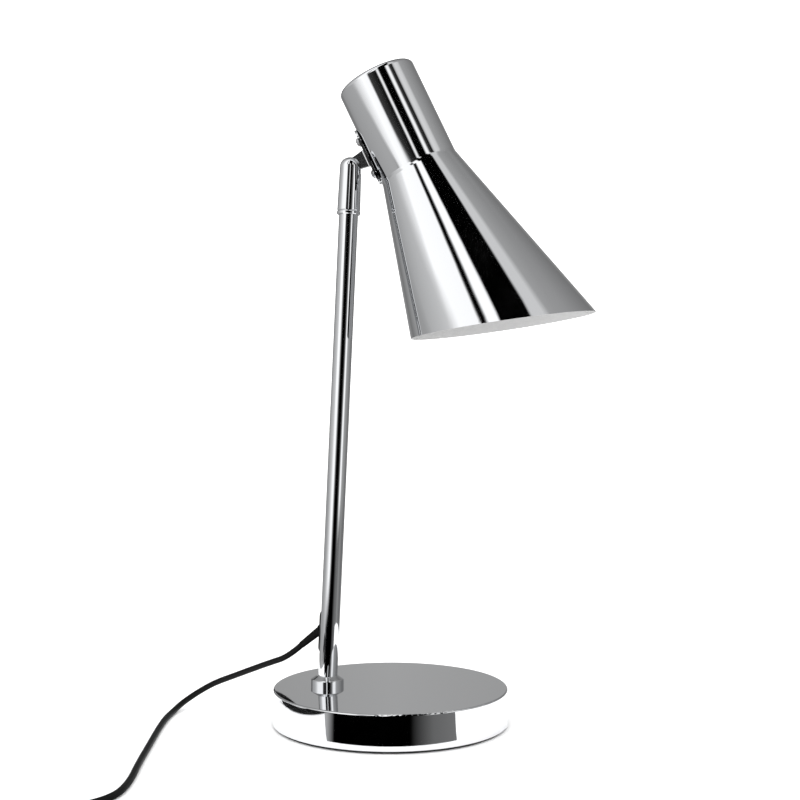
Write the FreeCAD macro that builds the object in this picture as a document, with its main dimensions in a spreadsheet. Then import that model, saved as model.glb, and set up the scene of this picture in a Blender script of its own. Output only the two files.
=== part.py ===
import FreeCAD, Part
import math
import os
import re

import Sketcher
from FreeCAD import Placement, Rotation, Vector

# Chromed table lamp. The origin is the centre of the foot's underside, +Z is up, and the shade
# leans out along +X. All sizes are in millimetres and angles in degrees.

SIZES = {
    # round foot
    "base_top_radius": 80.0,
    "base_bottom_radius": 80.7,
    "base_height": 24.6,
    "cover_lift": 1.8,
    "cover_wall": 0.7,
    "cover_edge": 0.95,
    "pad_thick": 2.0,
    "pad_radius": 78.4,
    "weight_thick": 10.0,
    "weight_radius": 77.0,
    "boss_radius": 16.0,
    # stem: heights are measured along its leaning axis, from the foot's top face
    "stem_offset": -43.8,
    "stem_lean": 2.604,
    "tube_radius": 6.6,
    "tube_wall": 1.0,
    "tube_start": 0.45,
    "tube_end": 341.6,
    "collar_radius": 11.35,
    "collar_side": 4.5,
    "collar_height": 6.7,
    "nipple_radius": 5.0,
    "nipple_bore": 3.0,
    "nipple_up": 16.0,
    "nipple_down": 21.4,
    "recess_radius": 12.5,
    "recess_top": 16.4,
    "clamp_washer_thick": 1.2,
    "clamp_washer_radius": 10.5,
    "clamp_nut_thick": 4.0,
    "clamp_nut_flats": 17.0,
    # cord outlet on the back of the stem
    "outlet_azimuth": 130.0,
    "outlet_height": 35.85,
    "outlet_length": 30.7,
    "outlet_width": 9.0,
    "outlet_reach": 8.0,
    "outlet_edge": 0.9,
    "outlet_cord_up": 5.0,
    "outlet_cord_hole": 2.6,
    "outlet_screw_down": 11.2,
    "outlet_screw_radius": 3.4,
    "outlet_screw_dome": 1.8,
    "relief_base": 2.95,
    "relief_tip": 2.35,
    "wire_radius": 1.8,
    # swivel and tilt joint
    "bush_start": 322.8,
    "bush_flange": 1.5,
    "spigot_radius": 4.0,
    "spigot_end": 318.0,
    "running_gap": 0.05,
    "wire_bore": 2.4,
    "thrust_thick": 0.8,
    "ring_thick": 0.8,
    "ring_groove": 3.3,
    "ring_radius": 5.0,
    "cap_start": 323.7,
    "cap_rim_radius": 8.1,
    "cap_rim_height": 2.4,
    "cap_low_radius": 7.95,
    "cap_high_radius": 7.4,
    "cap_shoulder": 356.9,
    "cap_dome": 6.6,
    "cap_bore_low": 6.75,
    "cap_bore_high": 6.25,
    "cap_bore_dome": 5.45,
    "cap_slot_width": 6.6,
    "cap_slot_start": 352.1,
    "cap_slot_back": 4.9,
    "fork_start": 344.2,
    "fork_slot_width": 6.0,
    "fork_slot_start": 351.7,
    "pivot_height": 357.2,
    "pivot_radius": 1.75,
    "pivot_length": 10.6,
    "friction_thick": 1.44,
    "friction_radius": 4.2,
    # shade, measured from the knee between its cylinder and its cone, along its own axis
    "shade_tilt": -25.55,
    "shade_radius": 27.4,
    "shade_wall": 0.8,
    "shade_top": 69.8,
    "shade_crown": 3.2,
    "knee_round": 10.0,
    "cone_angle": 15.13,
    "cone_reach": 150.0,
    "mouth_middle": 120.35,
    "mouth_slope": 17.38,
    # bracket between the shade and the tilt joint
    "bracket_middle": 22.64,
    "bracket_length": 40.8,
    "bracket_width": 16.4,
    "bracket_thick": 1.4,
    "tab_thick": 3.0,
    "tab_root": 12.2,
    "tab_waist": 9.6,
    "tab_eye": 4.6,
    "tab_bend": 1.4,
    "pivot_offset": 41.5,
    "screw_spacing": 24.3,
    "screw_radius": 2.0,
    "screw_head_radius": 3.6,
    "screw_head_height": 2.5,
    "screw_length": 8.7,
    "screw_nut_flats": 7.0,
    "screw_nut_thick": 3.0,
    "lead_hole": 2.2,
    "lead_hole_side": 5.0,
    # lamp holder and bulb
    "strap_thick": 1.5,
    "strap_top": 48.0,
    "strap_foot_radius": 9.0,
    "holder_radius": 13.2,
    "holder_top": 46.4,
    "holder_cavity": 7.6,
    "holder_cavity_top": 27.0,
    "holder_nut_flats": 14.0,
    "bulb_cap_radius": 6.9,
    "bulb_contact": 24.2,
    "bulb_radius": 22.5,
    "bulb_length": 80.0,
    "bulb_wall": 0.8,
    # mains cord with its switch and plug
    "cord_radius": 2.1,
    "coil_radius": 25.0,
    "coil_width": 17.6,
    "coil_height": 8.6,
    "switch_length": 58.0,
    "switch_width": 24.0,
    "switch_neck": 10.0,
    "switch_split": 5.0,
    "switch_height": 16.0,
    "switch_lift": 0.2,
    "switch_round": 2.0,
    "rocker_pivot": 11.5,
    "rocker_width": 8.8,
    "rocker_rest": 8.0,
    "rocker_pin": 1.2,
    "window_length": 19.4,
    "window_width": 9.6,
    "plug_length": 36.0,
    "plug_width": 35.2,
    "plug_thick": 13.7,
    "plug_lift": 0.2,
    "plug_round": 3.0,
    "plug_pin_radius": 2.0,
    "plug_pin_length": 19.0,
    "plug_pin_spacing": 18.6,
}

# The mains cord's route, as the points between which it runs. It leaves the tip of the strain
# relief, drops to the table behind the stem, comes forward past the foot and turns to the switch.
CORD_RUN = [
    (-64.6, 15.1, 48.8), (-74.4, 16.8, 39.9), (-88.6, 19.4, 34.7), (-103.0, 25.4, 28.5),
    (-118.3, 31.6, 21.8), (-132.2, 34.6, 16.2), (-143.7, 30.6, 9.9), (-152.0, 20.1, 4.6),
    (-154.3, 5.2, 2.1), (-153.8, -15.7, 2.1), (-149.9, -46.0, 2.1), (-144.0, -84.0, 2.1),
    (-138.0, -124.0, 2.1), (-131.0, -163.0, 2.1), (-131.5, -190.0, 2.1), (-147.0, -209.5, 2.1),
    (-172.0, -216.0, 2.1), (-194.0, -216.0, 3.5), (-210.0, -216.0, 5.0),
]
# From the switch it runs into the coil, and out of the coil to the plug.
CORD_LEAD = [(-266.0, -216.0, 5.0), (-281.0, -215.6, 3.2), (-297.0, -214.8, 2.1)]
CORD_TAIL = [
    (-340.5, -180.0, 6.3), (-341.5, -162.0, 4.6), (-339.0, -145.0, 2.3), (-330.0, -131.0, 2.4),
    (-316.0, -124.0, 4.6), (-300.0, -122.0, 7.1),
]
COIL_CENTRE = Vector(-309.0, -183.0, 0.0)
# The lamp's inner leads, in the stem's own frame (turned to the outlet) and in the shade's.
STEM_WIRE = [(7.6, 0.0, 40.85), (3.0, 0.0, 42.9), (0.0, 0.0, 52.0), (0.0, 0.0, 348.0)]
SHADE_WIRE = [
    (-29.2, 5.0, 22.64), (-20.5, 5.0, 22.64), (-18.4, 9.5, 34.0), (-18.4, 11.0, 46.5),
    (-14.0, 8.0, 57.0), (-6.0, 3.0, 62.0), (0.0, 0.0, 57.0), (0.0, 0.0, 50.0),
]

doc = FreeCAD.newDocument("table_lamp")
sheet = doc.addObject("Spreadsheet::Sheet", "Sizes")
for row, (alias, value) in enumerate(SIZES.items(), 1):
    sheet.set(f"A{row}", alias)
    sheet.set(f"B{row}", str(value))
    sheet.setAlias(f"B{row}", alias)
doc.recompute()

nodes = []


# ---------------------------------------------------------------- helpers


def formula(text):
    """An expression for the document, with each size's name pointing into the sheet."""
    return re.sub(r"[a-z]\w*", lambda m: "Sizes." + m[0] if m[0] in SIZES else m[0], str(text))


def number(text):
    """The value of an expression now."""
    found = sheet.evalExpression(formula(text))
    return float(getattr(found, "Value", found))


def bind(piece, **sizes):
    for name, text in sizes.items():
        piece.setExpression(name, formula(text))
    return piece


def spot(x=0.0, y=0.0, z=0.0, turn=None):
    """A placement from three expressions and a rotation."""
    return Placement(Vector(number(x), number(y), number(z)), turn or Rotation())


def about(axis, degrees):
    return Rotation(Vector(*axis), number(degrees))


def solid(kind, name, place=None, **sizes):
    piece = bind(doc.addObject("Part::" + kind, name), **sizes)
    piece.Placement = place or Placement()
    return piece


def rod(name, radius, length, place=None):
    return solid("Cylinder", name, place, Radius=radius, Height=length)


def block(name, length, width, height, place=None):
    """A box centred in X and Y, with its underside at the placement's origin."""
    centre = Placement(Vector(-number(length) / 2, -number(width) / 2, 0), Rotation())
    place = (place or Placement()).multiply(centre)
    return solid("Box", name, place, Length=length, Width=width, Height=height)


def hexagon(name, flats, thick, place=None):
    prism = solid("Prism", name, place, Circumradius=f"({flats}) / 2 / cos(30)", Height=thick)
    prism.Polygon = 6
    return prism


def dome(name, radius, height, place=None):
    """A button head: the cap of a ball, standing on the placement's XY plane."""
    ball = f"(({radius}) ^ 2 + ({height}) ^ 2) / (2 * ({height}))"
    sunk = number(ball) - number(height)
    cap = solid("Sphere", name, (place or Placement()).multiply(spot(z=-sunk)), Radius=ball)
    cap.setExpression("Angle1", formula(f"asin(({ball} - ({height})) / ({ball}))"))
    return cap


def fuse(name, *shapes):
    joined = doc.addObject("Part::MultiFuse", name)
    joined.Shapes = list(shapes)
    joined.Refine = True
    return joined


def cut(name, base, *tools):
    piece = doc.addObject("Part::Cut", name)
    piece.Base = base
    piece.Tool = tools[0] if len(tools) == 1 else fuse(name + "_tools", *tools)
    return piece


def group(name, *shapes):
    together = doc.addObject("Part::Compound", name)
    together.Links = list(shapes)
    return together


def node(label, piece, place=None):
    """Names a finished sub-part and puts it where it belongs."""
    if place:
        piece.Placement = place
    piece.Label = label
    nodes.append(piece)
    return piece


def origin_plane(body, role):
    return next(f for f in body.Origin.OriginFeatures if f.Role == role)


def outline(body, name, role, points):
    """A closed sketch of straight lines whose corners are bound to expressions."""
    sketch = body.newObject("Sketcher::SketchObject", name)
    sketch.AttachmentSupport = [(origin_plane(body, role), "")]
    sketch.MapMode = "FlatFace"
    corners = [Vector(number(x), number(y), 0) for x, y in points]
    for start, end in zip(corners, corners[1:] + corners[:1]):
        sketch.addGeometry(Part.LineSegment(start, end), False)
    for i, (corner, texts) in enumerate(zip(corners, points)):
        sketch.addConstraint(Sketcher.Constraint("Coincident", i - 1 if i else len(points) - 1, 2, i, 1))
        across = ("DistanceX", corner.x, texts[0], -2)
        along = ("DistanceY", corner.y, texts[1], -1)
        for kind, far, text, line in (across, along):
            if abs(far) < 1e-9:
                sketch.addConstraint(Sketcher.Constraint("PointOnObject", i, 1, line))
            else:
                mark = sketch.addConstraint(Sketcher.Constraint(kind, -1, 1, i, 1, far))
                sketch.setExpression(f"Constraints[{mark}]", formula(text))
    return sketch


def turned(name, points):
    """A body turned about Z from an outline of (radius, height) corners."""
    body = doc.addObject("PartDesign::Body", name)
    sketch = outline(body, name + "_outline", "XZ_Plane", points)
    turn = body.newObject("PartDesign::Revolution", name + "_turn")
    turn.Profile = sketch
    turn.ReferenceAxis = (sketch, ["V_Axis"])
    turn.Angle = 360
    doc.recompute()
    return body


def padded(name, role, points, length, both_ways=False):
    body = doc.addObject("PartDesign::Body", name)
    sketch = outline(body, name + "_outline", role, points)
    pad = body.newObject("PartDesign::Pad", name + "_pad")
    pad.Profile = sketch
    pad.Midplane = both_ways
    bind(pad, Length=length)
    doc.recompute()
    return body


def soften(body, radius, chosen):
    """Rounds those edges of a body that the test chooses."""
    tip = body.Tip
    names = [f"Edge{i}" for i, edge in enumerate(tip.Shape.Edges, 1) if chosen(edge)]
    if not names:
        raise ValueError(f"no edge to round on {body.Name}")
    fillet = body.newObject("PartDesign::Fillet", f"{body.Name}_round{len(body.Group)}")
    fillet.Base = (tip, names)
    bind(fillet, Radius=radius)
    doc.recompute()
    return body


def circle_at(height, radius=None):
    """A test for full circles at one height, and of one radius where it is given."""

    def chosen(edge):
        curve = edge.Curve
        if curve.TypeId != "Part::GeomCircle" or abs(curve.Center.z - number(height)) > 1e-3:
            return False
        return radius is None or abs(curve.Radius - number(radius)) < 1e-3

    return chosen


def level_at(height):
    """A test for edges that lie whole at one height."""
    return lambda edge: all(abs(v.Point.z - number(height)) < 1e-3 for v in edge.Vertexes)


def corner_points(route):
    """For each inner point of a route: its arc's start, middle, end and radius."""
    found = []
    for before, here, after in zip(route, route[1:], route[2:]):
        back = before - here
        ahead = after - here
        half_turn = (math.pi - back.getAngle(ahead)) / 2
        reach = 0.45 * min(back.Length, ahead.Length)
        radius = reach / math.tan(half_turn)
        back.normalize()
        ahead.normalize()
        inward = (back + ahead).normalize()
        middle = here + inward * (radius / math.cos(half_turn) - radius)
        found.append((here + back * reach, middle, here + ahead * reach, radius))
    return found


def tube(name, points, radius):
    """A round tube along straight runs joined by tangent arcs."""
    route = [Vector(*p) for p in points]
    edges = []
    last = route[0]
    corners = corner_points(route)
    for start, middle, end, _ in corners:
        edges.append(Part.LineSegment(last, start).toShape())
        edges.append(Part.Arc(start, middle, end).toShape())
        last = end
    edges.append(Part.LineSegment(last, route[-1]).toShape())
    path = Part.Wire(edges)
    section = Part.Wire(Part.Circle(route[0], route[1] - route[0], number(radius)).toShape())
    piece = doc.addObject("Part::Feature", name)
    piece.Shape = path.makePipeShell([section], True, False)
    expected = math.pi * number(radius) ** 2 * path.Length
    radii = ", ".join(f"{corner[3]:.0f}" for corner in corners)
    ratio = piece.Shape.Volume / expected
    print(f"{name}: length {path.Length:.1f}, radii {radii}, volume ratio {ratio:.4f}")
    return piece


# ---------------------------------------------------------------- frames

STEM = spot("stem_offset", 0, "base_height", about((0, 1, 0), "stem_lean"))
OUTLET = STEM.multiply(spot(z="outlet_height", turn=about((0, 0, 1), "outlet_azimuth")))
PIVOT = STEM.multVec(Vector(0, 0, number("pivot_height")))
TILT = Placement(PIVOT, about((0, 1, 0), "shade_tilt"))
SHADE = TILT.multiply(spot("pivot_offset", 0, "-bracket_middle"))
OUTWARD = Rotation(Vector(0, 1, 0), 90)
INWARD = Rotation(Vector(0, 1, 0), -90)
SIDEWAYS = Rotation(Vector(1, 0, 0), -90)


def on_stem(height):
    return STEM.multiply(spot(z=height))


def heading_frame(start, end):
    """A frame on the table under a cord's end, with X along the cord."""
    ahead = Vector(end[0] - start[0], end[1] - start[1], 0)
    return Placement(Vector(end[0], end[1], 0), Rotation(Vector(1, 0, 0), ahead))


# ---------------------------------------------------------------- foot


def make_base_cover():
    shell = turned("base_shell", [
        (0, "base_height"),
        ("base_top_radius", "base_height"),
        ("base_bottom_radius", "cover_lift"),
        ("base_bottom_radius - cover_wall", "cover_lift"),
        ("base_top_radius - cover_wall", "base_height - cover_wall"),
        (0, "base_height - cover_wall"),
    ])
    soften(shell, "cover_edge", circle_at("base_height", "base_top_radius"))
    soften(
        shell,
        "cover_edge - cover_wall",
        circle_at("base_height - cover_wall", "base_top_radius - cover_wall"),
    )
    hole = rod("base_shell_hole", "nipple_radius + 0.3", 10, on_stem(-5))
    node("base_cover", cut("base_cover_cut", shell, hole))


def make_base_weight():
    disc = rod("weight_disc", "weight_radius", "weight_thick", spot(z="pad_thick"))
    boss_height = "base_height - cover_wall - pad_thick"
    boss = rod("weight_boss", "boss_radius", boss_height, spot("stem_offset", 0, "pad_thick"))
    hole = rod("weight_hole", "nipple_radius + 0.2", 60, on_stem(-40))
    recess = rod("weight_recess", "recess_radius", 20, on_stem("-recess_top - 20"))
    node("base_weight", cut("weight_cut", fuse("weight_casting", disc, boss), hole, recess))


def make_base_pad():
    node("base_pad", rod("pad_disc", "pad_radius", "pad_thick"))


def make_stem_clamp():
    washer_height = "-recess_top - clamp_washer_thick"
    nut_height = "-recess_top - clamp_washer_thick - clamp_nut_thick"
    washer = rod("clamp_washer_disc", "clamp_washer_radius", "clamp_washer_thick")
    washer_hole = rod("clamp_washer_hole", "nipple_radius + 0.2", 4, spot(z=-1))
    node("clamp_washer", cut("clamp_washer_cut", washer, washer_hole), on_stem(washer_height))
    nut = hexagon("clamp_nut_prism", "clamp_nut_flats", "clamp_nut_thick")
    nut_hole = rod("clamp_nut_hole", "nipple_radius", 8, spot(z=-1))
    node("clamp_nut", cut("clamp_nut_cut", nut, nut_hole), on_stem(nut_height))
    up = "nipple_up - tube_start"
    plug = rod("nipple_plug", "tube_radius - tube_wall", up, spot(z="tube_start"))
    thread = rod("nipple_thread", "nipple_radius", "nipple_down + tube_start", spot(z="-nipple_down"))
    bore = rod("nipple_bore_tool", "nipple_bore", 60, spot(z=-30))
    node("stem_nipple", cut("nipple_cut", fuse("nipple_solid", plug, thread), bore), STEM)


def make_stem_collar():
    ring = turned("collar_ring", [
        (0, 0),
        ("collar_radius", 0),
        ("collar_radius", "collar_side - 0.5"),
        ("collar_radius - 0.5", "collar_side"),
        ("tube_radius + 1.3", "collar_height - 0.3"),
        ("tube_radius + 0.9", "collar_height"),
        (0, "collar_height"),
    ])
    ring.Placement = spot("stem_offset", 0, "base_height")
    bore = rod("collar_bore", "tube_radius + running_gap", 30, on_stem(-10))
    node("stem_collar", cut("collar_cut", ring, bore))


# ---------------------------------------------------------------- stem and cord outlet


def make_stem_tube():
    length = "tube_end - tube_start"
    outside = rod("tube_outside", "tube_radius", length, spot(z="tube_start"))
    inside = rod("tube_inside", "tube_radius - tube_wall", 400, spot(z=-10))
    facing = about((0, 0, 1), "outlet_azimuth").multiply(OUTWARD)
    cord_place = spot(z="outlet_height + outlet_cord_up", turn=facing)
    screw_place = spot(z="outlet_height - outlet_screw_down", turn=facing)
    cord_hole = rod("tube_cord_hole", "outlet_cord_hole", 12, cord_place)
    screw_hole = rod("tube_screw_hole", 1.25, 12, screw_place)
    node("stem_tube", cut("tube_cut", outside, inside, cord_hole, screw_hole), STEM)


def make_cord_outlet():
    half = "outlet_width / 2"
    straight = "(outlet_length - outlet_width) / 2"
    bar = block("outlet_bar", "outlet_reach", "outlet_width", "outlet_length - outlet_width",
                spot("outlet_reach / 2", 0, f"-{straight}"))
    ends = [
        rod(f"outlet_end_{side}", half, "outlet_reach", spot(z=f"{sign}{straight}", turn=OUTWARD))
        for side, sign in (("low", "-"), ("high", ""))
    ]
    plate = fuse("outlet_plate", bar, *ends)
    doc.recompute()
    rim = doc.addObject("Part::Fillet", "outlet_rim")
    rim.Base = plate
    outer = number("outlet_reach")
    rim.Edges = [
        (i, number("outlet_edge"), number("outlet_edge"))
        for i, edge in enumerate(plate.Shape.Edges, 1)
        if all(abs(v.Point.x - outer) < 1e-3 for v in edge.Vertexes)
    ]
    saddle = rod("outlet_saddle", "tube_radius", 60, spot(z=-30))
    cord_hole = rod("outlet_cord_tool", "outlet_cord_hole", 20, spot(z="outlet_cord_up", turn=OUTWARD))
    screw_hole = rod("outlet_screw_tool", 1.25, 20, spot(z="-outlet_screw_down", turn=OUTWARD))
    node("cord_outlet", cut("outlet_cut", rim, saddle, cord_hole, screw_hole), OUTLET)

    shank = rod("outlet_screw_shank", 1.2, 3.4, spot("outlet_reach - 3.4", turn=OUTWARD))
    face = spot("outlet_reach", turn=OUTWARD)
    head = dome("outlet_screw_head", "outlet_screw_radius", "outlet_screw_dome", face)
    slot = block("outlet_screw_slot", 1.6, 0.9, 8, spot("outlet_reach + outlet_screw_dome", 0, -4))
    place = OUTLET.multiply(spot(z="-outlet_screw_down"))
    node("outlet_screw", cut("outlet_screw_cut", fuse("outlet_screw_solid", shank, head), slot), place)


def make_strain_relief():
    """A tapered sleeve from the outlet plate to the start of the free cord."""
    start = OUTLET.multVec(Vector(number("outlet_reach") - 4, 0, number("outlet_cord_up")))
    tip = Vector(*CORD_RUN[0])
    length = (tip - start).Length
    sleeve = turned("relief_sleeve", [
        (0, 0),
        ("relief_base + 0.5", 0),
        ("relief_base + 0.5", 6.6),
        ("relief_base", 7.6),
        ("relief_tip", length),
        (0, length),
    ])
    sleeve.Placement = Placement(start, Rotation(Vector(0, 0, 1), tip - start))
    buried = block("relief_trim", 20, 40, 60, OUTLET.multiply(spot("outlet_reach - 10", 0, -30)))
    node("strain_relief", cut("relief_cut", sleeve, buried))


def make_stem_wire():
    wire = tube("stem_wire_tube", STEM_WIRE, "wire_radius")
    node("stem_wire", wire, STEM.multiply(spot(turn=about((0, 0, 1), "outlet_azimuth"))))


# ---------------------------------------------------------------- swivel and tilt joint


def make_swivel():
    sleeve = rod("bush_sleeve", "tube_radius - tube_wall", "tube_end - bush_start", spot(z="bush_start"))
    flange = rod("bush_flange_disc", "tube_radius", "bush_flange", spot(z="tube_end"))
    bore = rod("bush_bore", "spigot_radius + running_gap", 60, spot(z=300))
    node("swivel_bush", cut("bush_cut", fuse("bush_solid", sleeve, flange), bore), STEM)

    washer = rod("thrust_disc", "tube_radius - 0.2", "thrust_thick")
    hole = rod("thrust_hole", "spigot_radius + running_gap", 4, spot(z=-1))
    place = on_stem("fork_start - 0.1 - thrust_thick")
    node("thrust_washer", cut("thrust_cut", washer, hole), place)

    ring = rod("ring_disc", "ring_radius", "ring_thick")
    ring_bore = rod("ring_bore", "ring_groove", 4, spot(z=-1))
    gap = block("ring_gap", 6, 5.2, 4, spot(4.2, 0, -1))
    place = on_stem("bush_start - 0.2 - ring_thick")
    node("retaining_ring", cut("ring_cut", ring, ring_bore, gap), place)


def make_head_fork():
    """The clevis inside the cap, turning in the bush by its hollow spigot."""
    fit = "cap_bore_high - running_gap"
    drum = rod("fork_drum", fit, "cap_shoulder - fork_start", spot(z="fork_start"))
    top = solid("Ellipsoid", "fork_top", spot(z="cap_shoulder"),
                Radius1="cap_bore_dome - running_gap", Radius2=fit, Radius3=fit)
    top.Angle1 = 0
    spigot = rod("fork_spigot", "spigot_radius", "fork_start - spigot_end", spot(z="spigot_end"))
    body = fuse("fork_solid", drum, top, spigot)
    slot = block("fork_slot", 20, "fork_slot_width", 20, spot(z="fork_slot_start"))
    bore = rod("fork_bore", "wire_bore", 60, spot(z="spigot_end - 5"))
    pin = rod("fork_pin_hole", "pivot_radius", 20, spot(0, -10, "pivot_height", SIDEWAYS))
    groove = rod("fork_groove", 6, "ring_thick + 0.1", spot(z="bush_start - 0.25 - ring_thick"))
    core = rod("fork_groove_core", "ring_groove", 4, spot(z="bush_start - 2"))
    node("head_fork", cut("fork_cut", body, slot, bore, pin, cut("fork_groove_ring", groove, core)), STEM)


def make_head_cap():
    sleeve = turned("cap_sleeve", [
        (0, "cap_start"),
        ("cap_rim_radius - 0.5", "cap_start"),
        ("cap_rim_radius", "cap_start + 0.5"),
        ("cap_rim_radius", "cap_start + cap_rim_height - 0.4"),
        ("cap_rim_radius - 0.3", "cap_start + cap_rim_height"),
        ("cap_low_radius - 0.3", "cap_start + cap_rim_height + 0.3"),
        ("cap_low_radius", "cap_start + cap_rim_height + 0.7"),
        ("cap_high_radius", "cap_shoulder"),
        (0, "cap_shoulder"),
    ])
    crown = solid("Ellipsoid", "cap_crown", spot(z="cap_shoulder"),
                  Radius1="cap_dome", Radius2="cap_high_radius", Radius3="cap_high_radius")
    crown.Angle1 = 0
    low = rod("cap_low_bore", "cap_bore_low", "fork_start - cap_start + 5", spot(z="cap_start - 5"))
    high = rod("cap_high_bore", "cap_bore_high", "cap_shoulder - fork_start", spot(z="fork_start"))
    hollow = solid("Ellipsoid", "cap_hollow", spot(z="cap_shoulder"),
                   Radius1="cap_bore_dome", Radius2="cap_bore_high", Radius3="cap_bore_high")
    hollow.Angle1 = 0
    reach = "12 + cap_slot_back"
    slot = block("cap_slot", reach, "cap_slot_width", 20,
                 spot(f"({reach}) / 2 - cap_slot_back", 0, "cap_shoulder"))
    throat = block("cap_throat", 12, "cap_slot_width", "cap_shoulder - cap_slot_start + 1",
                   spot(6, 0, "cap_slot_start"))
    body = fuse("cap_solid", sleeve, crown)
    node("head_cap", cut("cap_cut", body, low, high, hollow, slot, throat), STEM)


def make_tilt_pivot():
    place = STEM.multiply(spot(z="pivot_height"))
    pin = rod("pivot_rod", "pivot_radius", "pivot_length", spot(0, "-pivot_length / 2", 0, SIDEWAYS))
    node("pivot_pin", group("pivot_pin_group", pin), place)

    rings = []
    for side in (-1, 1):
        middle = number("tab_thick + fork_slot_width") / 4 * side
        start = spot(0, f"{middle} - friction_thick / 2", 0, SIDEWAYS)
        disc = rod(f"friction_disc_{side + 1}", "friction_radius", "friction_thick", start)
        bore = spot(0, middle - 4, 0, SIDEWAYS)
        hole = rod(f"friction_hole_{side + 1}", "pivot_radius + running_gap", 8, bore)
        rings.append(cut(f"friction_cut_{side + 1}", disc, hole))
    node("friction_washers", group("friction_group", *rings), place)


# ---------------------------------------------------------------- shade and bracket


def screw_heights():
    return [f"bracket_middle {sign} screw_spacing / 2" for sign in "-+"]


def lead_hole(name, start, length):
    """The hole at the bracket's far side that the lead comes in by."""
    return rod(name, "lead_hole", length, spot(start, "lead_hole_side", "bracket_middle", OUTWARD))


def screw_holes(name, start, length):
    return [
        rod(f"{name}_{i}", "screw_radius + 0.05", length, spot(start, 0, height, OUTWARD))
        for i, height in enumerate(screw_heights())
    ]


def make_shade():
    """A spun shell: a closed cylinder that flares into a cone with a slanting mouth."""
    spread = "cone_reach * tan(cone_angle)"
    inner = "shade_radius - shade_wall"
    knee_drop = "shade_wall * tan(cone_angle / 2)"
    shell = turned("shade_shell", [
        (0, "shade_top"),
        ("shade_radius", "shade_top"),
        ("shade_radius", 0),
        (f"shade_radius + {spread}", "-cone_reach"),
        (f"{inner} + {spread} - {knee_drop} * tan(cone_angle)", "-cone_reach"),
        (inner, f"-{knee_drop}"),
        (inner, "shade_top - shade_wall"),
        (0, "shade_top - shade_wall"),
    ])
    soften(shell, "shade_crown", circle_at("shade_top", "shade_radius"))
    soften(shell, "shade_crown - shade_wall", circle_at("shade_top - shade_wall", inner))
    soften(shell, "knee_round", circle_at(0, "shade_radius"))
    soften(shell, "knee_round + shade_wall", circle_at(f"-{knee_drop}", inner))
    below = block("mouth_tool", 400, 400, 200)
    slant = Placement(Vector(0, 0, -number("mouth_middle")), about((0, 1, 0), "mouth_slope"))
    below.Placement = slant.multiply(Placement(Vector(-200, -200, -200), Rotation()))
    holes = screw_holes("shade_screw_hole", "-shade_radius - 2", 6)
    lead = lead_hole("shade_lead_hole", "-shade_radius - 2", 6)
    node("shade", cut("shade_cut", shell, below, lead, *holes), SHADE)


def make_bracket():
    """A plate along the shade with a tab that stands out to the tilt pivot."""
    outer = "-shade_radius - 0.05 - bracket_thick"
    straight = "bracket_length - bracket_width"
    bar = block("plate_bar", "bracket_thick", "bracket_width", straight,
                spot(f"{outer} + bracket_thick / 2", 0, f"bracket_middle - ({straight}) / 2"))
    ends = [
        rod(f"plate_end_{i}", "bracket_width / 2", "bracket_thick",
            spot(outer, 0, f"bracket_middle {sign} ({straight}) / 2", OUTWARD))
        for i, sign in enumerate("-+")
    ]
    plate = fuse("bracket_plate", bar, *ends)
    waist = "-(pivot_offset + shade_radius + bracket_thick) / 2 - 1"
    tab = padded("bracket_tab", "XZ_Plane", [
        (f"{outer} + 0.5", "bracket_middle - tab_root / 2"),
        (outer, "bracket_middle - tab_root / 2"),
        (waist, "bracket_middle - tab_waist / 2"),
        ("-pivot_offset", "bracket_middle - tab_eye"),
        ("-pivot_offset", "bracket_middle + tab_eye"),
        (waist, "bracket_middle + tab_waist / 2"),
        (outer, "bracket_middle + tab_root / 2"),
        (f"{outer} + 0.5", "bracket_middle + tab_root / 2"),
    ], "tab_thick", both_ways=True)
    eye = rod("bracket_eye", "tab_eye", "tab_thick",
              spot("-pivot_offset", "-tab_thick / 2", "bracket_middle", SIDEWAYS))
    raw = fuse("bracket_raw", plate, tab, eye)
    doc.recompute()
    bend = doc.addObject("Part::Fillet", "bracket_bend")
    bend.Base = raw
    corner_x = number(outer)
    bend.Edges = [
        (i, number("tab_bend"), number("tab_bend"))
        for i, edge in enumerate(raw.Shape.Edges, 1)
        if all(abs(v.Point.x - corner_x) < 1e-3 for v in edge.Vertexes)
        and all(abs(abs(v.Point.y) - number("tab_thick / 2")) < 1e-3 for v in edge.Vertexes)
        and edge.Length > number("tab_root") - 1
    ]
    pin = rod("bracket_pin_hole", "pivot_radius + running_gap", 12,
              spot("-pivot_offset", -6, "bracket_middle", SIDEWAYS))
    holes = screw_holes("bracket_screw_hole", "-shade_radius - 4", 6)
    lead = lead_hole("bracket_lead_hole", "-shade_radius - 4", 6)
    node("shade_bracket", cut("bracket_cut", bend, pin, lead, *holes), SHADE)


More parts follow.
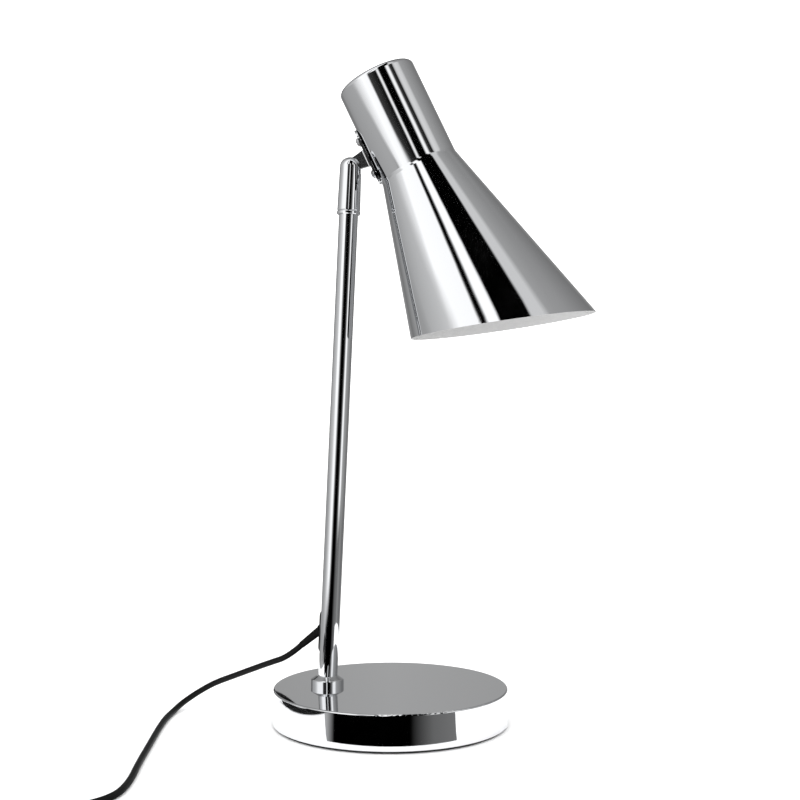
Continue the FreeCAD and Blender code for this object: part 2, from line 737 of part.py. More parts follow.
def make_bracket_screws():
    screws = []
    nuts = []
    seat = "-shade_radius - 0.05 - bracket_thick"
    nut_face = "-shade_radius + shade_wall + strap_thick + 0.05"
    for i, height in enumerate(screw_heights()):
        head_place = spot(seat, 0, height, INWARD)
        head = dome(f"screw_dome_{i}", "screw_head_radius", "screw_head_height", head_place)
        shank = rod(f"screw_shank_{i}", "screw_radius", "screw_length", spot(seat, 0, height, OUTWARD))
        top = "screw_head_height + bracket_thick + 0.05 + shade_radius"
        recess = [
            block(f"screw_cross_{i}_{name}", 1.2, width, tall,
                  spot(f"-({top}) + 0.6", 0, f"{height} - {tall} / 2"))
            for name, width, tall in (("up", 0.8, 3.4), ("over", 3.4, 0.8))
        ]
        screws.append(cut(f"screw_cut_{i}", fuse(f"screw_solid_{i}", head, shank), *recess))
        nut_place = spot(nut_face, 0, height, OUTWARD)
        nut = hexagon(f"nut_prism_{i}", "screw_nut_flats", "screw_nut_thick", nut_place)
        hole = rod(f"nut_hole_{i}", "screw_radius", 10, spot(f"{nut_face} - 2", 0, height, OUTWARD))
        nuts.append(cut(f"nut_cut_{i}", nut, hole))
    node("bracket_screws", group("screw_group", *screws), SHADE)
    node("bracket_nuts", group("nut_group", *nuts), SHADE)


# ---------------------------------------------------------------- lamp holder and bulb


def make_holder_strap():
    """An angle strap inside the shade that carries the lamp holder on the shade's axis."""
    wall = "-shade_radius + shade_wall + 0.05"
    low = "bracket_middle - screw_spacing / 2 - 6"
    upright = block("strap_upright", "strap_thick", "bracket_width", f"strap_top - ({low})",
                    spot(f"{wall} + strap_thick / 2", 0, low))
    arm_length = f"-({wall})"
    arm = block("strap_arm", arm_length, "bracket_width", "strap_thick",
                spot(f"({wall}) / 2", 0, "strap_top - strap_thick"))
    pad = rod("strap_pad", "strap_foot_radius", "strap_thick", spot(z="strap_top - strap_thick"))
    body = fuse("strap_solid", upright, arm, pad)
    bore = rod("strap_bore", "nipple_radius + 0.1", 10, spot(z="strap_top - 5"))
    trim = rod("strap_trim_core", "shade_radius - shade_wall - 0.05", 100, spot(z=-10))
    around = rod("strap_trim_out", 60, 90, spot(z=-5))
    holes = screw_holes("strap_screw_hole", "-shade_radius - 2", 8)
    lead = lead_hole("strap_lead_hole", "-shade_radius - 2", 8)
    ring = cut("strap_trim", around, trim)
    node("holder_strap", cut("strap_cut", body, bore, ring, lead, *holes), SHADE)


def make_holder_fixing():
    thread = rod("holder_thread", "nipple_radius", 17.5, spot(z=36.2))
    bore = rod("holder_thread_bore", "nipple_bore", 30, spot(z=30))
    node("holder_nipple", cut("holder_nipple_cut", thread, bore), SHADE)
    nut = hexagon("holder_nut_prism", "holder_nut_flats", 3, spot(z="strap_top"))
    hole = rod("holder_nut_hole", "nipple_radius", 10, spot(z="strap_top - 2"))
    node("holder_nut", cut("holder_nut_cut", nut, hole), SHADE)


def make_lamp_holder():
    body = turned("holder_body", [
        (0, "holder_cavity_top"),
        ("holder_cavity", "holder_cavity_top"),
        ("holder_cavity", 0.5),
        ("holder_radius", 0.5),
        ("holder_radius", 17),
        ("holder_radius + 0.9", 17.6),
        ("holder_radius + 0.9", 21),
        ("holder_radius", 21.6),
        ("holder_radius", "holder_top - 4"),
        ("holder_radius - 2.5", "holder_top"),
        ("nipple_radius", "holder_top"),
        ("nipple_radius", 36),
        (0, 36),
    ])
    wire_way = rod("holder_wire_way", "wire_radius + 0.4", 12, spot(z="holder_cavity_top - 1"))
    node("lamp_holder", cut("holder_cut", body, wire_way), SHADE)

    sleeve = rod("shell_outside", "holder_cavity", 19, spot(z=1.5))
    inside = rod("shell_inside", "bulb_cap_radius + 0.1", 40, spot(z=-5))
    node("holder_shell", cut("shell_cut", sleeve, inside), SHADE)

    contact = turned("contact_button", [
        (0, "bulb_contact"),
        (1.6, "bulb_contact"),
        (2.4, "bulb_contact + 0.8"),
        (2.4, "holder_cavity_top - 0.6"),
        (4.6, "holder_cavity_top - 0.6"),
        (4.6, "holder_cavity_top"),
        (0, "holder_cavity_top"),
    ])
    node("holder_contact", contact, SHADE)


def make_bulb():
    cap = turned("bulb_cap_turned", [
        (0, "bulb_contact"),
        (1.8, "bulb_contact"),
        (2.4, "bulb_contact - 0.7"),
        (5.4, "bulb_contact - 2.6"),
        ("bulb_cap_radius", "bulb_contact - 4.0"),
        ("bulb_cap_radius", 0.8),
        ("bulb_cap_radius + 0.5", -1.5),
        (0, -1.5),
    ])
    node("bulb_cap", cap, SHADE)

    centre = "bulb_contact - bulb_length + bulb_radius"
    ball = solid("Sphere", "bulb_ball", spot(z=centre), Radius="bulb_radius")
    neck_root = "bulb_cap_radius + 0.5"
    neck_end = 12.0
    neck_low = -14.5
    neck_high = -1.5
    neck = solid("Cone", "bulb_neck", spot(z=neck_low),
                 Radius1=neck_end, Radius2=neck_root, Height=neck_high - neck_low)
    inner_ball = solid("Sphere", "bulb_inner_ball", spot(z=centre), Radius="bulb_radius - bulb_wall")
    inner_neck = solid("Cone", "bulb_inner_neck", spot(z=neck_low - 1),
                       Radius1=f"{neck_end} - bulb_wall + 0.3", Radius2=f"{neck_root} - bulb_wall",
                       Height=neck_high - neck_low)
    skin = fuse("bulb_skin", ball, neck)
    node("bulb_globe", cut("bulb_globe_cut", skin, fuse("bulb_inside", inner_ball, inner_neck)), SHADE)


def make_shade_wire():
    node("shade_wire", tube("shade_wire_tube", SHADE_WIRE, "wire_radius"), SHADE)


# ---------------------------------------------------------------- mains cord, switch and plug


def make_cord():
    for name, points in (("cord_run", CORD_RUN), ("cord_lead", CORD_LEAD), ("cord_tail", CORD_TAIL)):
        node(name, tube(name + "_tube", points, "cord_radius"))
    outside = rod("coil_outside", "coil_radius + coil_width / 2", "coil_height")
    inside = rod("coil_inside", "coil_radius - coil_width / 2", "coil_height + 4", spot(z=-2))
    node("cord_coil", cut("coil_cut", outside, inside), Placement(COIL_CENTRE, Rotation()))


def capsule_outline():
    """Half the switch's length forward and back, narrowed to its cord necks."""
    end = "switch_length / 2"
    shoulder = "switch_length / 2 - 8"
    wide = "switch_width / 2"
    neck = "switch_neck / 2"
    return [
        (f"-{end}", f"-{neck}"), (f"-({shoulder})", f"-{wide}"), (shoulder, f"-{wide}"), (end, f"-{neck}"),
        (end, neck), (shoulder, wide), (f"-({shoulder})", wide), (f"-{end}", neck),
    ]


def make_switch():
    face = heading_frame(CORD_RUN[-2], (CORD_RUN[-1][0] + 1, CORD_RUN[-1][1]))
    place = face.multiply(spot("switch_length / 2"))
    lower = padded("switch_base", "XY_Plane", capsule_outline(), "switch_split - switch_lift")
    soften(lower, "switch_round / 2", level_at(0))
    lower.Placement = spot(z="switch_lift")
    upper = padded("switch_lid", "XY_Plane", capsule_outline(), "switch_height - switch_split")
    soften(upper, "switch_round", level_at("switch_height - switch_split"))
    upper.Placement = spot(z="switch_split")

    window = block("switch_window", "window_length", "window_width", 20, spot(z="switch_split + 1.5"))
    pins = rod("switch_pin_hole", "rocker_pin + running_gap", 12.4, spot(0, -6.2, "rocker_pivot", SIDEWAYS))
    screws = []
    low_holes = []
    high_holes = []
    for i, x in enumerate((-19, 19)):
        shank = rod(f"switch_shank_{i}", 1.3, 9, spot(x, 0, 0.6))
        head = solid("Cone", f"switch_head_{i}", spot(x, 0, 0.6), Radius1=2.6, Radius2=1.3, Height=1.6)
        screws.append(fuse(f"switch_screw_{i}", shank, head))
        sink = solid("Cone", f"switch_sink_{i}", spot(x, 0, 0.6), Radius1=2.6, Radius2=1.3, Height=1.6)
        mouth = rod(f"switch_mouth_{i}", 2.6, 1.6, spot(x, 0, -1))
        through = rod(f"switch_through_{i}", 1.3, 12, spot(x, 0, -1))
        low_holes += [sink, mouth, through]
        high_holes.append(rod(f"switch_blind_{i}", 1.3, 9, spot(x, 0, 0.6)))
    node("switch_lower", cut("switch_lower_cut", lower, *low_holes), place)
    node("switch_upper", cut("switch_upper_cut", upper, window, pins, *high_holes), place)
    node("switch_screws", group("switch_screw_group", *screws), place)

    rocker = padded("rocker_blade", "XZ_Plane", [
        (-8.5, 5.6), (0, 4.3), (8.5, 5.6), (7.6, 1.4), (3.0, -2.0), (-3.0, -2.0), (-7.6, 1.4),
    ], "rocker_width", both_ways=True)
    axle = rod("rocker_axle", "rocker_pin", 12, spot(0, -6, 0, SIDEWAYS))
    tilt = spot(z="rocker_pivot", turn=about((0, 1, 0), "rocker_rest"))
    node("switch_rocker", fuse("rocker_solid", rocker, axle), place.multiply(tilt))


def make_plug():
    place = heading_frame(CORD_TAIL[-2], CORD_TAIL[-1]).multiply(spot(-1, 0, "plug_lift"))
    rear = 4.6
    wide = "plug_width / 2"
    body = padded("plug_shell", "XY_Plane", [
        (0, -rear), (8, -7.6), (17, f"-({wide}) + 1.5"), (22, f"-{wide}"), ("plug_length", f"-{wide}"),
        ("plug_length", wide), (22, wide), (17, f"{wide} - 1.5"), (8, 7.6), (0, rear),
    ], "plug_thick")
    soften(body, "plug_round", level_at(0))
    soften(body, "plug_round", level_at("plug_thick"))
    middle = "plug_thick / 2"
    pins = []
    holes = []
    for side in (-1, 1):
        y = f"plug_pin_spacing / 2 * {side}"
        start = spot("plug_length - 6", y, middle, OUTWARD)
        pin = rod(f"plug_rod_{side + 1}", "plug_pin_radius", "plug_pin_length + 6 - 1", start)
        end = spot("plug_length + plug_pin_length - 1", y, middle, OUTWARD)
        tip = solid("Cone", f"plug_tip_{side + 1}", end,
                    Radius1="plug_pin_radius", Radius2="plug_pin_radius / 2", Height=1)
        pins.append(fuse(f"plug_pin_{side + 1}", pin, tip))
        holes.append(rod(f"plug_hole_{side + 1}", "plug_pin_radius", 10, start))
    node("plug_body", cut("plug_cut", body, *holes), place)
    node("plug_pins", group("plug_pin_group", *pins), place)


MAKERS = [
    make_base_cover, make_base_weight, make_base_pad, make_stem_clamp, make_stem_collar,
    make_stem_tube, make_cord_outlet, make_strain_relief, make_stem_wire, make_swivel,
    make_head_fork, make_head_cap, make_tilt_pivot, make_shade, make_bracket,
    make_bracket_screws, make_holder_strap, make_holder_fixing, make_lamp_holder, make_bulb,
    make_shade_wire, make_cord, make_switch, make_plug,
]


def write_nodes():
    doc.recompute()
    failed = [o.Name for o in doc.Objects if "Invalid" in o.State or "Error" in o.State]
    bad = [n.Label for n in nodes if n.Shape.isNull() or not n.Shape.isValid() or not n.Shape.Solids]
    if failed or bad:
        raise RuntimeError(f"failed objects {failed}, bad shapes {bad}")
    os.makedirs("parts", exist_ok=True)
    for piece in nodes:
        box = piece.Shape.BoundBox
        spans = ((box.XMin, box.XMax), (box.YMin, box.YMax), (box.ZMin, box.ZMax))
        reach = "  ".join(f"{low:7.1f} {high:7.1f}" for low, high in spans)
        solids = len(piece.Shape.Solids)
        print(f"{piece.Label:18s} solids {solids}  volume {piece.Shape.Volume:10.1f}  {reach}")
        piece.Shape.exportStep(f"parts/{piece.Label}.step")
    print(len(nodes), "nodes")


for maker in MAKERS:
    maker()
write_nodes()
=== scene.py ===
import math

import bpy
from mathutils import Matrix, Vector


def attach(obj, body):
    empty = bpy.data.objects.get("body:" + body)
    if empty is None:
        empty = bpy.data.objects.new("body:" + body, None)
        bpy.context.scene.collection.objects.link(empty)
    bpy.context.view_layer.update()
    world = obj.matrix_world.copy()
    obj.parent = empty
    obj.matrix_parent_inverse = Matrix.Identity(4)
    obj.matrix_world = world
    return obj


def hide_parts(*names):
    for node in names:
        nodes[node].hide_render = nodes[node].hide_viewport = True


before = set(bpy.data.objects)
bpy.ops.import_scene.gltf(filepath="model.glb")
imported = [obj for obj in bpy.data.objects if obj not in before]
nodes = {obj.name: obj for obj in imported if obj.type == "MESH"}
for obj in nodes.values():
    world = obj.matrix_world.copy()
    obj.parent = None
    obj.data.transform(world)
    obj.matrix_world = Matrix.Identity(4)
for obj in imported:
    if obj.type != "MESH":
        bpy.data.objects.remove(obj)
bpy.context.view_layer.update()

# Sizes are in metres unless a comment says otherwise. The lamp stands at the origin with +Z up, and
# its shade leans out along +X.
CAMERA_PLACE = Vector((0.10527, -0.87723, 0.22287))
CAMERA_AHEAD = Vector((-0.111891, 0.993718, -0.002381))
# The focal length, in millimetres.
CAMERA_LENS = 58.032
# The compass heading from the lamp to the camera, which the studio is built around.
CAMERA_HEADING = math.atan2(CAMERA_PLACE.x, -CAMERA_PLACE.y)

# The shade's axis runs up through the knee between its cone and its cylinder.
SHADE_KNEE = (0.019635, 0.0, 0.378904)
SHADE_AXIS = (-0.43131, 0.0, 0.90221)

# The white sheet that the chrome sees under the lamp: its rim, and its front edge close to the foot.
SHEET_RIM = 0.26
SHEET_FRONT = 0.105
SHEET_DEPTH = -0.0001
FLOOR_RADIUS = 30.0
FLOOR_DEPTH = -0.0002

CORD_DIAMETER = 0.0042
# The cord's route and its coil are in millimetres, the part's own unit.
CORD_RUN = [
    (-64.6, 15.1, 48.8), (-74.4, 16.8, 39.9), (-88.6, 19.4, 34.7), (-103.0, 25.4, 28.5),
    (-118.3, 31.6, 21.8), (-132.2, 34.6, 16.2), (-143.7, 30.6, 9.9), (-152.0, 20.1, 4.6),
    (-154.3, 5.2, 2.1), (-153.8, -15.7, 2.1), (-149.9, -46.0, 2.1), (-144.0, -84.0, 2.1),
    (-138.0, -124.0, 2.1), (-131.0, -163.0, 2.1), (-131.5, -190.0, 2.1), (-147.0, -209.5, 2.1),
    (-172.0, -216.0, 2.1), (-194.0, -216.0, 3.5), (-210.0, -216.0, 5.0),
]
CORD_IN_SWITCH = [(-238.0, -216.0, 6.0)]
CORD_LEAD = [(-266.0, -216.0, 5.0), (-281.0, -215.6, 3.2), (-297.0, -214.8, 2.1)]
CORD_TAIL = [
    (-340.5, -180.0, 6.3), (-341.5, -162.0, 4.6), (-339.0, -145.0, 2.3), (-330.0, -131.0, 2.4),
    (-316.0, -124.0, 4.6), (-300.0, -122.0, 7.1),
]
COIL_CENTRE = (-309.0, -183.0)


# ---------------------------------------------------------------- node helpers


class Shader:
    """A material, or the world, with small helpers for building its nodes."""

    def __init__(self, owner):
        owner.use_nodes = True
        self.tree = owner.node_tree
        self.tree.nodes.clear()

    def add(self, kind, **settings):
        made = self.tree.nodes.new("ShaderNode" + kind)
        for name, value in settings.items():
            setattr(made, name, value)
        return made

    def join(self, source, target):
        self.tree.links.new(source, target)

    def feed(self, socket, value):
        if isinstance(value, bpy.types.NodeSocket):
            self.join(value, socket)
        else:
            socket.default_value = value

    def math(self, operation, a, b=0.0, c=0.0):
        made = self.add("Math", operation=operation)
        for socket, value in zip(made.inputs, (a, b, c)):
            self.feed(socket, value)
        return made.outputs[0]

    def vector(self, operation, a, b):
        made = self.add("VectorMath", operation=operation)
        for socket, value in zip(made.inputs, (a, b)):
            self.feed(socket, value)
        return made.outputs["Vector"]

    def mix(self, factor, a, b):
        made = self.add("Mix", data_type="RGBA")
        self.feed(made.inputs[0], factor)
        for socket, value in zip((made.inputs[6], made.inputs[7]), (a, b)):
            self.feed(socket, value)
        return made.outputs[2]

    def place(self, scale=(1, 1, 1), turn=(0, 0, 0)):
        """The object's own coordinates, stretched and turned."""
        made = self.add("Mapping")
        made.inputs["Scale"].default_value = scale
        made.inputs["Rotation"].default_value = turn
        self.join(self.add("TexCoord").outputs["Object"], made.inputs["Vector"])
        return made.outputs[0]

    def noise(self, vector, scale, detail=3.0, rough=0.5):
        made = self.add("TexNoise")
        self.join(vector, made.inputs["Vector"])
        for name, value in (("Scale", scale), ("Detail", detail), ("Roughness", rough)):
            made.inputs[name].default_value = value
        return made.outputs["Fac"]

    def ramp(self, factor, stops, interpolation="LINEAR"):
        made = self.add("ValToRGB")
        made.color_ramp.interpolation = interpolation
        elements = made.color_ramp.elements
        while len(elements) < len(stops):
            elements.new(1.0)
        for element, (position, value) in zip(elements, stops):
            element.position = position
            element.color = (*value, 1) if isinstance(value, tuple) else (value, value, value, 1)
        self.feed(made.inputs[0], factor)
        return made.outputs[0]

    def span(self, value, low, high, to_low, to_high):
        made = self.add("MapRange")
        self.feed(made.inputs["Value"], value)
        for name, number in (("From Min", low), ("From Max", high), ("To Min", to_low), ("To Max", to_high)):
            made.inputs[name].default_value = number
        return made.outputs["Result"]

    def bump(self, height, strength, distance, under=None):
        made = self.add("Bump")
        made.inputs["Strength"].default_value = strength
        made.inputs["Distance"].default_value = distance
        self.join(height, made.inputs["Height"])
        if under is not None:
            self.join(under, made.inputs["Normal"])
        return made.outputs["Normal"]

    def principled(self, **inputs):
        made = self.add("BsdfPrincipled")
        for name, value in inputs.items():
            self.feed(made.inputs[name.replace("_", " ")], value)
        return made.outputs[0]

    def blend(self, factor, a, b):
        """One surface where the factor is 0 and the other where it is 1."""
        made = self.add("MixShader")
        for socket, source in zip(made.inputs, (factor, a, b)):
            self.join(source, socket)
        return made.outputs[0]

    def surface(self, **inputs):
        """The principled surface, wired to the output."""
        self.show(self.principled(**inputs))

    def show(self, source):
        self.join(source, self.add("OutputMaterial").inputs["Surface"])


def material(name):
    made = bpy.data.materials.new(name)
    return made, Shader(made)


def rgb(r, g, b):
    return (r, g, b, 1.0)


# ---------------------------------------------------------------- materials

CHROME_TINT = (0.80, 0.81, 0.825)


def plating(s, tint, roughness, waviness):
    """Bright chrome plate: faint polishing scratches, smudges and a slightly wavy surface."""
    where = s.place()
    smudge = s.noise(where, 38, 5, 0.6)
    scratch = s.noise(s.place(scale=(1, 1, 0.03)), 2600, 2, 0.7)
    dust = s.noise(where, 900, 2, 0.5)
    rough = s.math("ADD", s.span(smudge, 0.35, 0.75, roughness * 0.7, roughness * 1.9),
                   s.span(scratch, 0.62, 0.8, 0.0, 0.03))
    colour = s.mix(s.span(dust, 0.66, 0.8, 0.0, 0.18), rgb(*tint), rgb(0.62, 0.61, 0.60))
    wave = s.bump(s.noise(where, 22, 2, 0.4), waviness, 0.0004)
    fine = s.bump(scratch, 0.06, 0.00003, under=wave)
    return s.principled(Base_Color=colour, Metallic=1.0, Roughness=rough, Normal=fine)


def chrome(name, tint=CHROME_TINT, roughness=0.03, waviness=0.2):
    made, s = material(name)
    s.show(plating(s, tint, roughness, waviness))
    return made


def shade_finish():
    """Chrome outside and satin grey inside, told apart by whether the surface faces away from the axis."""
    made, s = material("shade_chrome")
    spot = s.add("TexCoord")
    from_knee = s.vector("SUBTRACT", spot.outputs["Object"], SHADE_KNEE)
    along = s.vector("PROJECT", from_knee, SHADE_AXIS)
    # The small lift along the axis counts the closed top as outside.
    outward = s.vector("ADD", s.vector("SUBTRACT", from_knee, along), tuple(0.02 * a for a in SHADE_AXIS))
    facing = s.add("VectorMath", operation="DOT_PRODUCT")
    s.join(spot.outputs["Normal"], facing.inputs[0])
    s.join(outward, facing.inputs[1])
    inside = s.math("LESS_THAN", facing.outputs["Value"], 0.0)
    speck = s.noise(spot.outputs["Object"], 900, 3)
    satin = s.principled(
        Base_Color=s.mix(speck, rgb(0.50, 0.50, 0.50), rgb(0.58, 0.58, 0.58)),
        Roughness=0.5,
    )
    s.show(s.blend(inside, plating(s, CHROME_TINT, 0.03, 0.3), satin))
    return made


def plain_metal(name, colour, roughness, scale=900.0, stretch=(1, 1, 1)):
    made, s = material(name)
    where = s.place(scale=stretch)
    grain = s.noise(where, scale, 3, 0.6)
    patch = s.noise(s.place(), 60, 4, 0.6)
    tone = s.mix(s.span(patch, 0.3, 0.75, 0.0, 0.5), rgb(*colour), rgb(*(c * 0.72 for c in colour)))
    rough = s.math("ADD", s.span(grain, 0.3, 0.7, roughness * 0.7, roughness * 1.3),
                   s.span(patch, 0.4, 0.8, 0, 0.08))
    s.surface(Base_Color=tone, Metallic=1.0, Roughness=rough, Normal=s.bump(grain, 0.25, 0.00006))
    return made


def plastic(name, colour, roughness, grain_scale=2200.0, grain=0.25, shine=0.5):
    """Moulded plastic or rubber: a fine spark-eroded grain and slight shade changes."""
    made, s = material(name)
    where = s.place()
    fine = s.noise(where, grain_scale, 3, 0.6)
    wide = s.noise(where, 45, 4, 0.6)
    worn = rgb(*(min(1.0, c * 1.35 + 0.001) for c in colour))
    tone = s.mix(s.span(wide, 0.3, 0.7, 0.0, 1.0), rgb(*colour), worn)
    rough = s.math("ADD", s.span(fine, 0.3, 0.7, roughness - 0.06, roughness + 0.06),
                   s.span(wide, 0.4, 0.75, 0, 0.07))
    s.surface(Base_Color=tone, Roughness=rough, Specular_IOR_Level=shine,
              Normal=s.bump(fine, grain, 0.00005))
    return made


def cast_iron(name):
    made, s = material(name)
    where = s.place()
    lumps = s.noise(where, 260, 6, 0.7)
    tone = s.ramp(lumps, [(0.3, (0.03, 0.03, 0.032)), (0.6, (0.07, 0.07, 0.072)), (0.8, (0.12, 0.10, 0.09))])
    s.surface(Base_Color=tone, Metallic=0.6, Roughness=s.span(lumps, 0.3, 0.7, 0.5, 0.75),
              Normal=s.bump(lumps, 0.6, 0.0004))
    return made


def opal_glass(name):
    made, s = material(name)
    haze = s.noise(s.place(), 120, 4, 0.6)
    tone = s.mix(s.span(haze, 0.35, 0.7, 0.0, 1.0), rgb(0.90, 0.90, 0.87), rgb(0.84, 0.84, 0.80))
    s.surface(Base_Color=tone, Roughness=s.span(haze, 0.3, 0.7, 0.16, 0.26), Subsurface_Weight=0.15,
              Coat_Weight=0.3, Normal=s.bump(haze, 0.05, 0.0001))
    return made


def dress(node_name, made):
    mesh = nodes[node_name].data
    mesh.materials.clear()
    mesh.materials.append(made)


LOOKS = {
    "base_cover": chrome("foot_chrome", waviness=0.12),
    "stem_collar": chrome("collar_chrome"),
    "stem_tube": chrome("stem_chrome", waviness=0.1),
    "head_cap": chrome("cap_chrome"),
    "shade": shade_finish(),
    "shade_bracket": chrome("bracket_chrome", tint=(0.72, 0.73, 0.74), roughness=0.09),
    "bracket_screws": chrome("screw_chrome", roughness=0.07),
    "base_weight": cast_iron("weight_iron"),
    "base_pad": plastic("pad_rubber", (0.018, 0.018, 0.018), 0.8, 1200, 0.6),
    "stem_nipple": plain_metal("nipple_zinc", (0.62, 0.60, 0.54), 0.35),
    "clamp_washer": plain_metal("washer_zinc", (0.64, 0.63, 0.58), 0.34),
    "clamp_nut": plain_metal("nut_zinc", (0.62, 0.60, 0.52), 0.36),
    "cord_outlet": plastic("outlet_plastic", (0.003, 0.003, 0.003), 0.5, shine=0.15),
    "outlet_screw": plain_metal("outlet_screw_steel", (0.20, 0.20, 0.20), 0.30),
    "strain_relief": plastic("relief_rubber", (0.002, 0.002, 0.002), 0.6, shine=0.1),
    "stem_wire": plastic("stem_wire_sheath", (0.02, 0.02, 0.02), 0.5),
    "shade_wire": plastic("shade_wire_sheath", (0.02, 0.02, 0.02), 0.5),
    "swivel_bush": plastic("bush_nylon", (0.78, 0.76, 0.70), 0.45),
    "thrust_washer": plastic("thrust_nylon", (0.76, 0.74, 0.68), 0.45),
    "retaining_ring": plain_metal("ring_steel", (0.45, 0.45, 0.45), 0.3),
    "head_fork": plain_metal("fork_brass", (0.70, 0.52, 0.24), 0.28, stretch=(1, 1, 0.1)),
    "pivot_pin": plain_metal("pin_steel", (0.55, 0.55, 0.55), 0.25),
    "friction_washers": plastic("washer_fibre", (0.24, 0.12, 0.06), 0.75),
    "bracket_nuts": plain_metal("nuts_zinc", (0.62, 0.61, 0.56), 0.34),
    "holder_strap": plain_metal("strap_zinc", (0.62, 0.62, 0.60), 0.38, stretch=(1, 1, 0.1)),
    "holder_nipple": plain_metal("holder_nipple_zinc", (0.62, 0.60, 0.54), 0.35),
    "holder_nut": plain_metal("holder_nut_zinc", (0.62, 0.60, 0.54), 0.35),
    "lamp_holder": plastic("holder_moulding", (0.80, 0.79, 0.75), 0.38),
    "holder_shell": plain_metal("shell_brass", (0.72, 0.55, 0.26), 0.28),
    "holder_contact": plain_metal("contact_brass", (0.74, 0.58, 0.28), 0.25),
    "bulb_cap": plain_metal("bulb_cap_metal", (0.74, 0.73, 0.70), 0.3),
    "bulb_globe": opal_glass("bulb_opal"),
    "switch_lower": plastic("switch_lower_plastic", (0.012, 0.012, 0.013), 0.34),
    "switch_upper": plastic("switch_upper_plastic", (0.012, 0.012, 0.013), 0.34),
    "switch_rocker": plastic("rocker_plastic", (0.014, 0.014, 0.015), 0.26, grain=0.1),
    "switch_screws": plain_metal("switch_screw_zinc", (0.6, 0.6, 0.56), 0.32),
    "plug_body": plastic("plug_plastic", (0.012, 0.012, 0.013), 0.4),
    "plug_pins": plain_metal("pin_nickel", (0.72, 0.71, 0.68), 0.2),
}


# ---------------------------------------------------------------- mains cord


def coil_turns():
    """Four flat turns winding in on the table, then four on top of them winding out again."""
    steps = 14
    outer = 31.6
    inner = 18.6
    pitch = 4.35
    turns = 8.25
    resting = 2.1
    layer = 4.2
    climb_start = 3.7
    climb_turns = 0.9
    points = []
    for i in range(1, int(steps * turns)):
        turn = i / steps
        wound = min(turn, turns - turn)
        radius = max(inner, min(outer, outer - pitch * (wound - 0.2)))
        climbed = min(1.0, max(0.0, (turn - climb_start) / climb_turns))
        angle = math.radians(-90 - 360 * turn)
        points.append((
            COIL_CENTRE[0] + radius * math.cos(angle),
            COIL_CENTRE[1] + radius * math.sin(angle),
            resting + layer * climbed,
        ))
    return points


def make_cord():
    curve = bpy.data.curves.new("mains_cord", "CURVE")
    curve.dimensions = "3D"
    curve.bevel_depth = CORD_DIAMETER / 2
    curve.bevel_resolution = 5
    curve.resolution_u = 10
    curve.use_fill_caps = True
    route = CORD_RUN + CORD_IN_SWITCH + CORD_LEAD + coil_turns() + CORD_TAIL
    spline = curve.splines.new("NURBS")
    spline.points.add(len(route) - 1)
    for point, (x, y, z) in zip(spline.points, route):
        point.co = (x / 1000, y / 1000, z / 1000, 1)
    spline.order_u = 3
    spline.use_endpoint_u = True
    cord = bpy.data.objects.new("mains_cord", curve)
    bpy.context.scene.collection.objects.link(cord)
    curve.materials.append(plastic("cord_sheath", (0.003, 0.003, 0.003), 0.5, 1500, 0.2, shine=0.15))
    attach(cord, "base")
    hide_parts("cord_run")
    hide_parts("cord_lead")
    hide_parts("cord_coil")
    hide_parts("cord_tail")


# ---------------------------------------------------------------- studio


def stage_sheet(name, corners, made):
    """A flat sheet on the table, facing up, that isn't part of the lamp."""
    mesh = bpy.data.meshes.new(name)
    mesh.from_pydata(corners, [], [range(len(corners))])
    mesh.materials.append(made)
    piece = bpy.data.objects.new(name, mesh)
    bpy.context.scene.collection.objects.link(piece)
    return piece


def on_table(radius, heading, height):
    """A place whose heading is given in degrees to the right of the camera's."""
    angle = math.radians(heading)
    ahead = Vector((radius * math.sin(angle), -radius * math.cos(angle), height))
    return Matrix.Rotation(CAMERA_HEADING, 3, "Z") @ ahead


def make_floor():
    made, s = material("floor_white")
    patch = s.noise(s.place(), 6, 3)
    tone = s.mix(s.span(patch, 0.3, 0.7, 0.0, 1.0), rgb(0.90, 0.90, 0.90), rgb(0.92, 0.92, 0.92))
    s.surface(Base_Color=tone, Roughness=0.9)
    rim = [on_table(FLOOR_RADIUS, heading, FLOOR_DEPTH) for heading in range(0, 360, 4)]
    floor = stage_sheet("floor", rim, made)
    floor.visible_glossy = False
    # Reflections see this smaller sheet instead. Its front is cut away close to the foot.
    front = [on_table(SHEET_FRONT, heading, SHEET_DEPTH) for heading in [*range(-38, 41, 6), 40]]
    back = [on_table(SHEET_RIM, heading, SHEET_DEPTH) for heading in range(54, 314, 10)]
    stage_sheet("sheet", front + back, made)


# What the chrome sees round the lamp: softboxes, dark flags and the dim room behind, as brightness by
# heading in degrees to the right of the camera's. The four rows lie above one another: below the
# table's edge, level with the lamp, above that, and overhead.
TABLE_EDGE = [
    (-180, 0.50), (-150, 0.35), (-75, 0.45), (-63, 0.45), (-55, 0.0), (19, 0.0), (41, 0.15),
    (66, 0.20), (75, 0.30), (118, 0.15), (150, 0.35), (180, 0.50),
]
LEVEL = [
    (-180, 0.40), (-150, 0.20), (-133, 0.35), (-99, 0.40), (-73, 0.65), (-45, 1.25), (-33, 1.20),
    (-25, 0.50), (-17, 0.10), (-9, 0.0), (18, 0.0), (30, 0.10), (36, 0.45), (46, 1.25), (53, 1.20),
    (67, 0.40), (120, 0.20), (147, 0.20), (161, 0.35), (180, 0.40),
]
RAISED = [
    (-180, 0.40), (-149, 0.15), (-129, 0.35), (-81, 0.60), (-63, 0.75), (-56, 1.25), (-31, 1.20),
    (-27, 0.05), (-6, 0.0), (-3, 1.00), (0, 1.00), (3, 0.0), (21, 0.0), (26, 1.15), (31, 1.10),
    (36, 0.05), (46, 0.0), (51, 0.65), (58, 0.80), (71, 0.70), (79, 0.40), (150, 0.20), (180, 0.40),
]
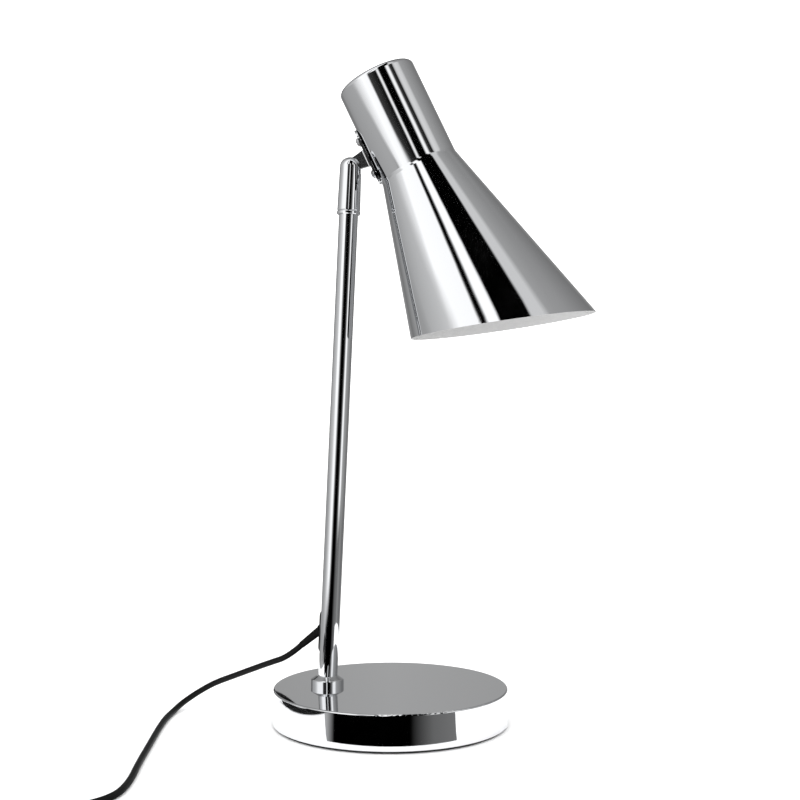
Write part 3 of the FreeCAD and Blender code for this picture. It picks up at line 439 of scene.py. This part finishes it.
OVERHEAD = [
    (-180, 0.20), (-150, 0.20), (-133, 0.35), (-93, 0.55), (-73, 0.95), (-68, 1.25), (-38, 1.20),
    (-35, 0.0), (-30, 0.0), (-27, 1.25), (-16, 1.25), (-13, 0.0), (28, 0.0), (33, 0.70), (52, 0.70),
    (64, 0.40), (110, 0.30), (136, 0.30), (150, 0.15), (180, 0.20),
]


# Each row above the table's edge: its stops, how many degrees its lower border climbs from straight
# ahead to the right, and the elevations between which it takes over from the row below.
ROWS_ABOVE = [(LEVEL, 0.0, -9.0, -7.0), (RAISED, 11.0, 8.5, 11.0), (OVERHEAD, 20.0, 27.0, 31.0)]


def row(s, share, stops):
    return s.ramp(share, [((degrees + 180) / 360, value) for degrees, value in stops])


def make_world():
    world = bpy.data.worlds.new("studio")
    bpy.context.scene.world = world
    s = Shader(world)
    split = s.add("SeparateXYZ")
    s.join(s.add("TexCoord").outputs["Generated"], split.inputs[0])
    east, north, up = split.outputs
    south = s.math("MULTIPLY", north, -1.0)
    turned = s.math("SUBTRACT", s.math("ARCTAN2", east, south), CAMERA_HEADING)
    heading = s.math("WRAP", turned, math.pi, -math.pi)
    share = s.span(heading, -math.pi, math.pi, 0.0, 1.0)
    elevation = s.math("DEGREES", s.math("ARCSINE", up))
    side = s.math("SINE", heading)
    seen = row(s, share, TABLE_EDGE)
    for stops, slope, low, high in ROWS_ABOVE:
        above = s.math("SUBTRACT", elevation, s.math("MULTIPLY", side, slope))
        seen = s.mix(s.span(above, low, high, 0.0, 1.0), seen, row(s, share, stops))
    studio = s.add("Background")
    s.join(seen, studio.inputs["Color"])
    plain = s.add("Background")
    plain.inputs["Color"].default_value = rgb(1.7, 1.7, 1.7)
    seen_by = s.blend(s.add("LightPath").outputs["Is Glossy Ray"], plain.outputs[0], studio.outputs[0])
    s.join(seen_by, s.add("OutputWorld").inputs["Surface"])


def make_light(name, place, target, size, power):
    data = bpy.data.lights.new(name, "AREA")
    data.shape = "RECTANGLE"
    data.size, data.size_y = size
    data.energy = power
    light = bpy.data.objects.new(name, data)
    light.location = place
    light.rotation_euler = (Vector(target) - Vector(place)).to_track_quat("-Z", "Y").to_euler()
    light.visible_glossy = False
    bpy.context.scene.collection.objects.link(light)


def make_camera():
    data = bpy.data.cameras.new("camera")
    data.lens = CAMERA_LENS
    data.sensor_width = 36
    data.clip_end = 100
    camera = bpy.data.objects.new("camera", data)
    right = CAMERA_AHEAD.cross(Vector((0, 0, 1))).normalized()
    above = right.cross(CAMERA_AHEAD)
    turn = Matrix((right, above, -CAMERA_AHEAD)).transposed().to_4x4()
    camera.matrix_world = Matrix.Translation(CAMERA_PLACE) @ turn
    bpy.context.scene.collection.objects.link(camera)
    bpy.context.scene.camera = camera


for node_name, look in LOOKS.items():
    dress(node_name, look)
make_cord()
make_floor()
make_world()
make_light("overhead", (0, 0, 1.8), (0, 0, 0), (2.6, 2.6), 4)
make_camera()
bpy.context.scene.view_settings.view_transform = "Standard"
